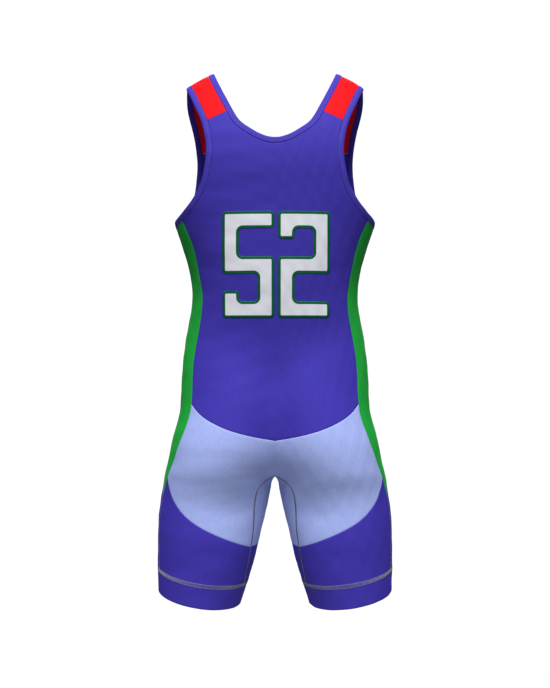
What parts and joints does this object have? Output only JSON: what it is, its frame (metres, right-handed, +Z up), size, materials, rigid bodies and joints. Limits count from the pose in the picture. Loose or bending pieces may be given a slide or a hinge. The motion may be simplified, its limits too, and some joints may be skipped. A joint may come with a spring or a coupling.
{
  "type": "powerlifting singlet",
  "caption": "Close-fitting one-piece lifting garment with shoulder straps and thigh-length legs, in its worn shape, hollow and open at neck, arms and legs.",
  "frame": {"origin": "midway between the shoulders at the height of the strap tops, where the wearer's shoulders hold the garment", "axes": "+Z up, -Y the way the wearer faces, +X towards the wearer's left; the back faces +Y"},
  "size_m": [0.384, 0.2267, 0.8628],
  "materials": {
    "violet_knit": "smooth stretch knit with a soft sheen",
    "violet_binding": "folded stretch binding, matt",
    "green_knit": "smooth stretch knit with a soft sheen",
    "light_blue_knit": "smooth stretch knit with a soft sheen",
    "red_knit": "smooth stretch knit with a soft sheen"
  },
  "bodies": {
    "root": {"armhole_binding_left": "violet_binding", "armhole_binding_right": "violet_binding", "back_panel": "violet_knit", "front_panel": "violet_knit", "leg_back_left": "violet_knit", "leg_back_right": "violet_knit", "leg_front_left": "violet_knit", "leg_front_right": "violet_knit", "neck_binding": "violet_binding", "seat_back": "light_blue_knit", "seat_front": "light_blue_knit", "side_back_left": "green_knit", "side_back_right": "green_knit", "side_front_left": "green_knit", "side_front_right": "green_knit", "yoke_left": "red_knit", "yoke_right": "red_knit"}
  },
  "joints": []
}
